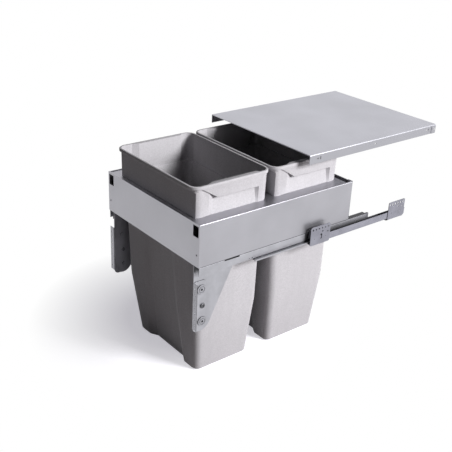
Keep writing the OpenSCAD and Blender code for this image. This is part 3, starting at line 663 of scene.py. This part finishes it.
class Turned:
    """A piece that is grown along X from one ring, step by step, with edit-mode operators."""

    corners: int = 48
    socket_corners: int = 6
    # Greatest angle that is shaded smooth, in degrees
    smooth: float = 35.0
    # Turns a new ring so that it faces along X
    turn: tuple[float, float, float] = (0, math.pi / 2, 0)

    def __init__(self, name: str, start: Sequence[float], radius: float) -> None:
        """Adds the first ring with its face and enters edit mode.

        Args:
            name: The piece's name.
            start: Centre of the first ring.
            radius: Radius of the first ring.
        """
        bpy.ops.object.select_all(action="DESELECT")
        bpy.ops.mesh.primitive_circle_add(vertices=self.corners, radius=radius, fill_type="NGON",
                                          location=start, rotation=self.turn)
        self.piece = bpy.context.active_object
        self.piece.name = self.piece.data.name = name
        bpy.ops.object.transform_apply(location=True, rotation=True, scale=True)
        self.centre = Vector(start)
        self.radius = radius
        bpy.ops.object.mode_set(mode="EDIT")
        bpy.ops.mesh.select_mode(type="FACE")
        bpy.ops.mesh.select_all(action="SELECT")

    def step(self, along: float, radius: float | None = None, shift: float = 0.0) -> "Turned":
        """Extrudes the end face along X, then gives it a new radius.

        Args:
            along: Length of the step, 0 for a flat ring.
            radius: Radius at the step's end, or None to keep it.
            shift: How far the end's centre moves along Y.

        Returns:
            This piece.
        """
        bpy.ops.mesh.extrude_region_move(TRANSFORM_OT_translate={"value": (along, shift, 0)})
        self.centre += Vector((along, shift, 0))
        if radius is not None:
            share = radius / self.radius
            bpy.ops.transform.resize(value=(1, share, share), center_override=tuple(self.centre))
            self.radius = radius
        return self

    def socket(self, radius: float, depth: float) -> "Turned":
        """Sinks a six-sided socket into the end face.

        Args:
            radius: Radius over the socket's corners.
            depth: Depth of the socket.

        Returns:
            This piece.
        """
        bpy.ops.mesh.delete(type="ONLY_FACE")
        bpy.ops.mesh.select_mode(type="EDGE")
        bpy.ops.mesh.select_all(action="DESELECT")
        bpy.ops.mesh.primitive_circle_add(vertices=self.socket_corners, radius=radius, fill_type="NOTHING",
                                          location=tuple(self.centre), rotation=self.turn)
        self._select_end_edges(open_only=True)
        bpy.ops.mesh.bridge_edge_loops()
        self._select_end_edges(within=radius + SAME_PLACE)
        bpy.ops.mesh.extrude_region_move(TRANSFORM_OT_translate={"value": (-depth, 0, 0)})
        bpy.ops.mesh.edge_face_add()
        self.centre.x -= depth
        return self

    def _select_end_edges(self, open_only: bool = False, within: float = math.inf) -> None:
        """Selects the edges of the end face's plane and nothing else.

        Args:
            open_only: Whether only edges with fewer than two faces are taken.
            within: Greatest distance of an edge's corners from the axis.
        """
        bpy.ops.object.mode_set(mode="OBJECT")
        mesh = self.piece.data
        uses = [0] * len(mesh.edges)
        for loop in mesh.loops:
            uses[loop.edge_index] += 1
        self._deselect_all()
        for edge in mesh.edges:
            places = [mesh.vertices[v].co for v in edge.vertices]
            wanted = not open_only or uses[edge.index] < 2
            near = all((p - self.centre).length < within for p in places)
            edge.select = wanted and near and all(abs(p.x - self.centre.x) < SAME_PLACE for p in places)
        bpy.ops.object.mode_set(mode="EDIT")

    def _deselect_all(self) -> None:
        """Deselects every vertex, edge and face, in object mode."""
        mesh = self.piece.data
        for item in (*mesh.vertices, *mesh.edges, *mesh.polygons):
            item.select = False

    def press(self, wanted: Callable[[Vector], bool], depth: float) -> "Turned":
        """Presses the faces whose centres are wanted into the piece along X.

        Args:
            wanted: Tells from a face's centre, relative to the axis, whether it is pressed.
            depth: Depth of the marks.

        Returns:
            This piece.
        """
        bpy.ops.object.mode_set(mode="OBJECT")
        self._deselect_all()
        for polygon in self.piece.data.polygons:
            polygon.select = wanted(polygon.center - self.centre)
        bpy.ops.object.mode_set(mode="EDIT")
        bpy.ops.mesh.select_mode(type="FACE")
        bpy.ops.mesh.extrude_region_move(TRANSFORM_OT_translate={"value": (-depth, 0, 0)})
        return self

    def done(self) -> bpy.types.Object:
        """Turns all faces outwards, shades them and leaves edit mode.

        Returns:
            The piece.
        """
        bpy.ops.mesh.select_all(action="SELECT")
        bpy.ops.mesh.normals_make_consistent(inside=False)
        bpy.ops.object.mode_set(mode="OBJECT")
        only(self.piece)
        bpy.ops.object.shade_smooth_by_angle(angle=math.radians(self.smooth))
        return self.piece


def copied(piece: bpy.types.Object, name: str, move: Sequence[float], mirror: bool) -> bpy.types.Object:
    """Copies a piece with its own mesh, moved and perhaps mirrored to the left side.

    Args:
        piece: The piece.
        name: The copy's name.
        move: How far the copy is moved before it is mirrored.
        mirror: Whether it is mirrored across the plane x = 0.

    Returns:
        The copy.
    """
    twin = bpy.data.objects.new(name, piece.data.copy())
    bpy.context.scene.collection.objects.link(twin)
    only(twin)
    bpy.ops.object.mode_set(mode="EDIT")
    bpy.ops.mesh.select_all(action="SELECT")
    bpy.ops.transform.translate(value=tuple(move))
    if mirror:
        bpy.ops.transform.resize(value=(-1, 1, 1), center_override=(0, 0, 0))
        bpy.ops.mesh.remove_doubles(threshold=SAME_PLACE)
        bpy.ops.mesh.normals_make_consistent(inside=False)
    bpy.ops.object.mode_set(mode="OBJECT")
    return twin


@dataclass
class Bins:
    """The two bins, with rounded moulded edges."""

    wardrobe: Wardrobe
    rounding: Rounding = Rounding(width=0.0012, faces=3, limit=16, smooth=40)
    names: tuple[str, ...] = ("front_bin", "rear_bin")

    def build(self) -> list[bpy.types.Object]:
        """Makes the bins.

        Returns:
            Both bins.
        """
        pieces = []
        for node in self.names:
            piece = softened(node, f"{node}_shell", self.rounding)
            pieces.append(self.wardrobe.stand_in(piece, BIN_PLASTIC, node, "bin_plastic", "carrier"))
        return pieces


@dataclass
class CarrierFrame:
    """Folded panels and the deck that carry the bins."""

    wardrobe: Wardrobe
    panels: tuple[str, ...] = ("front_panel", "side_panel_left", "side_panel_right", "rear_panel", "bin_deck")

    def build(self) -> list[bpy.types.Object]:
        """Dresses the frame.

        Returns:
            Its pieces.
        """
        pieces = self.wardrobe.dress(FRAME_COAT, *self.panels)
        return pieces + self.wardrobe.dress(FASTENER_STEEL, "rear_rivets")


@dataclass
class Runners:
    """Members, cages, balls, cabinet plates and end clips on both sides."""

    wardrobe: Wardrobe
    plates: tuple[str, ...] = ("front_plate", "rear_plate")
    plate_rounding: Rounding = Rounding(width=0.0007)

    def build(self) -> list[bpy.types.Object]:
        """Dresses the runners and rounds the plates' edges.

        Returns:
            Their pieces.
        """
        pieces = []
        dress = self.wardrobe.dress
        for tag in (side.value for side in Side):
            pieces += dress(RUNNER_ZINC, f"cabinet_member_{tag}")
            pieces += dress(DRAWER_ZINC, f"drawer_member_{tag}", f"middle_member_{tag}")
            for node in (f"{plate}_{tag}" for plate in self.plates):
                piece = softened(node, f"{node}_soft", self.plate_rounding)
                pieces.append(self.wardrobe.stand_in(piece, PLATE_ZINC, node, "runner_zinc",
                                                     "cabinet_fixings"))
            pieces += dress(CAGE_PLASTIC, f"upper_cage_{tag}", f"lower_cage_{tag}")
            pieces += dress(BALL_STEEL, f"upper_balls_{tag}", f"lower_balls_{tag}")
            pieces += dress(RIVET_STEEL, f"plate_rivets_{tag}")
            pieces += dress(BLACK_PLASTIC, f"end_clip_{tag}")
        return pieces


@dataclass
class Lid:
    """The fixed lid and its rivets."""

    wardrobe: Wardrobe

    def build(self) -> list[bpy.types.Object]:
        """Dresses the lid.

        Returns:
            Its pieces.
        """
        return self.wardrobe.dress(LID_COAT, "lid") + self.wardrobe.dress(FASTENER_STEEL, "lid_rivets")


@dataclass
class DoorBrackets:
    """Bracket plates, door angles, eccentrics and clamp screws.

    Sizes are in metres. A name that ends in r is a radius, one that ends in l a length along the axis.
    """

    wardrobe: Wardrobe
    eccentrics: tuple[str, ...] = ("upper_eccentric", "lower_eccentric")
    rounding: Rounding = Rounding()
    collar_r: float = 0.0045
    collar_l: float = 0.0015
    journal_r: float = 0.003
    journal_l: float = 0.0021
    disc_r: float = 0.0075
    disc_l: float = 0.0018
    throw: float = 0.003
    head_r: float = 0.012
    head_l: float = 0.0018
    edge: float = 0.0003
    scale_r: float = 0.0098
    groove_r: tuple[float, float] = (0.0080, 0.0066)
    groove_depth: float = 0.0008
    boss_r: float = 0.0046
    boss_rise: float = 0.0002
    socket_r: float = 0.003
    socket_depth: float = 0.0012
    tick_depth: float = 0.0003
    tick_angle: float = 30.0
    nut_r: float = 0.0045
    nut_l: float = 0.0025
    shank_r: float = 0.0024
    shank_l: float = 0.0036
    screw_head_r: float = 0.0065
    screw_head_l: float = 0.003
    screw_round: float = 0.0012
    # The middle ring of the screw head's rounding: its shares along the axis and inward
    screw_middle: Span = (0.6, 0.3)
    screw_rim_r: float = 0.00375

    def eccentric(self, outer: float, y: float, z: float) -> bpy.types.Object:
        """Grows one eccentric of the right side.

        Args:
            outer: Place of the head's face along X.
            y: Place of the axis along Y.
            z: Height of the axis.

        Returns:
            The piece.
        """
        start = outer - self.head_l - self.disc_l - self.journal_l - self.collar_l
        made = Turned("eccentric", (start, y, z), self.collar_r)
        made.step(self.collar_l).step(0, self.journal_r).step(self.journal_l)
        made.step(0, self.disc_r, -self.throw).step(self.disc_l).step(0, self.head_r, self.throw)
        made.step(self.head_l - self.edge).step(self.edge, self.head_r - self.edge).step(0, self.scale_r)
        made.step(0, self.groove_r[0]).step(-self.groove_depth).step(0, self.groove_r[1])
        made.step(self.groove_depth).step(0, self.boss_r).step(self.boss_rise)
        made.socket(self.socket_r, self.socket_depth)
        low, high = self.groove_r[0], self.scale_r

        def tick(place: Vector) -> bool:
            """Picks one face every few degrees, in the ring between the groove and the scale's radius.

            Args:
                place: The face's centre, relative to the axis.

            Returns:
                Whether the face is a tick of the scale.
            """
            turn = math.degrees(math.atan2(place.z, place.y)) % self.tick_angle
            in_ring = low < math.hypot(place.y, place.z) < high and place.x > -self.head_l
            return in_ring and turn < 360 / made.corners

        return made.press(tick, self.tick_depth).done()

    def screw(self, outer: float, y: float, z: float) -> bpy.types.Object:
        """Grows one clamp screw of the right side.

        Args:
            outer: Place of the head's face along X.
            y: Place of the axis along Y.
            z: Height of the axis.

        Returns:
            The piece.
        """
        start = outer - self.screw_head_l - self.shank_l - self.nut_l
        made = Turned("clamp_screw", (start, y, z), self.nut_r - self.edge)
        made.step(self.edge, self.nut_r).step(self.nut_l - self.edge).step(0, self.shank_r).step(self.shank_l)
        made.step(0, self.screw_head_r).step(self.screw_head_l - self.screw_round)
        out, inward = self.screw_middle
        made.step(self.screw_round * out, self.screw_head_r - self.screw_round * inward)
        made.step(self.screw_round * (1 - out), self.screw_head_r - self.screw_round)
        made.step(0, self.screw_rim_r)
        return made.socket(self.socket_r, self.socket_depth).done()

    def fasteners(self, grow: Callable[[float, float, float], bpy.types.Object], stems: tuple[str, ...],
                  finish: Finish, body: str | None = None) -> list[bpy.types.Object]:
        """Models one fastener in the place of the first node and copies it to every node on both sides.

        Args:
            grow: Grows the fastener from the place of its head and axis.
            stems: Names of the nodes, without their side.
            finish: The fastener's finish.
            body: The body that the copies move with, or None where each has its node's own.

        Returns:
            The copies.
        """
        low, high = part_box(f"{stems[0]}_right")
        first = grow(high.x, (low.y + high.y) / 2, (low.z + high.z) / 2)
        pieces = []
        for stem in stems:
            other_low, other_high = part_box(f"{stem}_right")
            move = (other_low + other_high - low - high) / 2
            for side in Side:
                node = f"{stem}_{side.value}"
                piece = copied(first, f"{node}_turned", move, side is Side.LEFT)
                pieces.append(self.wardrobe.stand_in(piece, finish, node, "fasteners", body or node))
        bpy.data.objects.remove(first)
        return pieces

    def build(self) -> list[bpy.types.Object]:
        """Models the eccentrics and screws once, copies them and dresses everything.

        Returns:
            The brackets' pieces.
        """
        pieces = self.fasteners(self.eccentric, self.eccentrics, ADJUSTER_ZINC)
        pieces += self.fasteners(self.screw, ("clamp_screw",), SCREW_STEEL, "carrier")
        for side in Side:
            plate, angle = f"bracket_plate_{side.value}", f"door_angle_{side.value}"
            for node, finish, body in ((plate, BRACKET_ZINC, "carrier"), (angle, ANGLE_ZINC, angle)):
                piece = softened(node, f"{node}_soft", self.rounding)
                pieces.append(self.wardrobe.stand_in(piece, finish, node, "bracket_zinc", body))
        return pieces + self.wardrobe.dress(FASTENER_STEEL, "bracket_rivets")


@dataclass(frozen=True)
class Softbox:
    """A square soft lamp: its place, the length of its side and its power in watts."""

    name: str
    place: Place
    side: float
    power: float

    def build(self, aim: Sequence[float]) -> None:
        """Hangs the lamp.

        Args:
            aim: The point that it faces.
        """
        data = bpy.data.lights.new(self.name, "AREA")
        data.shape = "SQUARE"
        data.size = self.side
        data.energy = self.power
        lamp = bpy.data.objects.new(self.name, data)
        bpy.context.scene.collection.objects.link(lamp)
        lamp.location = self.place
        lamp.rotation_euler = (Vector(self.place) - Vector(aim)).to_track_quat("Z", "Y").to_euler()
        lamp.visible_camera = False


@dataclass
class Studio:
    """Floor, light, background and camera of the photograph."""

    azimuth: float = 50.58
    elevation: float = 25.11
    roll: float = 2.66
    focal_px: float = 785.09
    image_px: float = 452.0
    sensor: float = 36.0
    far_end: float = 200.0
    eye: Place = (1.4129, -1.3248, 1.1616)
    aim: Place = (0.0, 0.0, 0.30)
    side_box: Softbox = Softbox("side_box", (3.95, 1.60, 2.45), 1.5, 355.0)
    top_box: Softbox = Softbox("top_box", (0.1, 0.9, 2.8), 1.6, 1.0)
    ambient: float = 0.022
    sky_colour: Colour = (0.985, 0.985, 1.0)
    floor_size: float = 80.0
    floor_bounce: Colour = (0.382, 0.358, 0.36)
    floor_tone: float = 0.85
    floor_glow: float = 0.49
    floor_tint: Colour = (0.99, 0.975, 1.04)
    shadow_centre: Place = (-0.10, -0.20, 0.0)
    shadow_reach: Span = (0.17, 0.44)

    def build(self) -> None:
        """Sets everything that is not part of the unit."""
        self.floor()
        self.light()
        self.camera()
        bpy.context.scene.view_settings.view_transform = "Standard"

    def floor(self) -> None:
        """A plain pale floor that keeps the unit's shadow and looks white to the camera."""
        bpy.ops.object.select_all(action="DESELECT")
        bpy.ops.mesh.primitive_plane_add(size=self.floor_size, location=(0, 0, 0))
        floor = bpy.context.active_object
        floor.name = "studio_floor"
        recipe = Recipe(bpy.data.materials.new("studio_floor"))
        seen = recipe.seen()
        tone = recipe.blend(seen, self.floor_bounce, toned(self.floor_tint, self.floor_tone))
        diffuse = recipe.node("ShaderNodeBsdfDiffuse", {}, {"Color": tone})
        glow = recipe.node("ShaderNodeEmission", {}, {"Color": (*self.floor_tint, 1),
                                                      "Strength": seen * self.floor_glow})
        near = recipe.node("ShaderNodeAddShader", {}, {0: diffuse.outputs[0], 1: glow.outputs[0]})
        white = recipe.node("ShaderNodeEmission", {}, {"Color": (1, 1, 1, 1), "Strength": 1.0})
        away = recipe.node("ShaderNodeVectorMath", {"operation": "DISTANCE"},
                           {0: recipe.place(), 1: self.shadow_centre})
        fade = Num(recipe, away.outputs["Value"]).ramp(*self.shadow_reach) * seen
        recipe.end(recipe.node("ShaderNodeMixShader", {}, {0: fade, 1: near.outputs[0], 2: white.outputs[0]}))
        floor.data.materials.append(recipe.owner)

    def light(self) -> None:
        """Two softboxes, and a sky that is white to the camera and in reflections but dim elsewhere."""
        world = bpy.data.worlds.new("studio")
        bpy.context.scene.world = world
        recipe = Recipe(world, "ShaderNodeOutputWorld")
        level = recipe.seen() * (1 - self.ambient) + self.ambient
        sky = recipe.node("ShaderNodeBackground", {}, {"Color": (*self.sky_colour, 1), "Strength": level})
        recipe.end(sky)
        self.side_box.build(self.aim)
        self.top_box.build(self.aim)

    def camera(self) -> None:
        """A camera at the photograph's place, turn and lens."""
        turn, rise, roll = (math.radians(v) for v in (self.azimuth, self.elevation, self.roll))
        back = Vector((math.sin(turn) * math.cos(rise), -math.cos(turn) * math.cos(rise), math.sin(rise)))
        right = Vector((math.cos(turn), math.sin(turn), 0))
        up = back.cross(right)
        across = right * math.cos(roll) + up * math.sin(roll)
        above = up * math.cos(roll) - right * math.sin(roll)
        data = bpy.data.cameras.new("view")
        data.sensor_width = self.sensor
        data.lens = self.sensor * self.focal_px / self.image_px
        data.clip_end = self.far_end
        camera = bpy.data.objects.new("view", data)
        bpy.context.scene.collection.objects.link(camera)
        turned = Matrix((across, above, back)).transposed().to_4x4()
        camera.matrix_world = Matrix.Translation(Vector(self.eye)) @ turned
        bpy.context.scene.camera = camera


def main() -> None:
    """Builds the studio and every sub-assembly in order, and reports each piece."""
    logging.basicConfig(level=logging.INFO, format="%(name)s %(message)s")
    Studio().build()
    wardrobe = Wardrobe()
    for kind in (CarrierFrame, Bins, Runners, Lid, DoorBrackets):
        pieces = kind(wardrobe).build()
        LOG.info("%s: %d pieces", kind.__name__, len(pieces))
        for piece in pieces:
            LOG.info("  %s: %d faces", piece.name, len(piece.data.polygons))


if __name__ == "__main__":
    main()
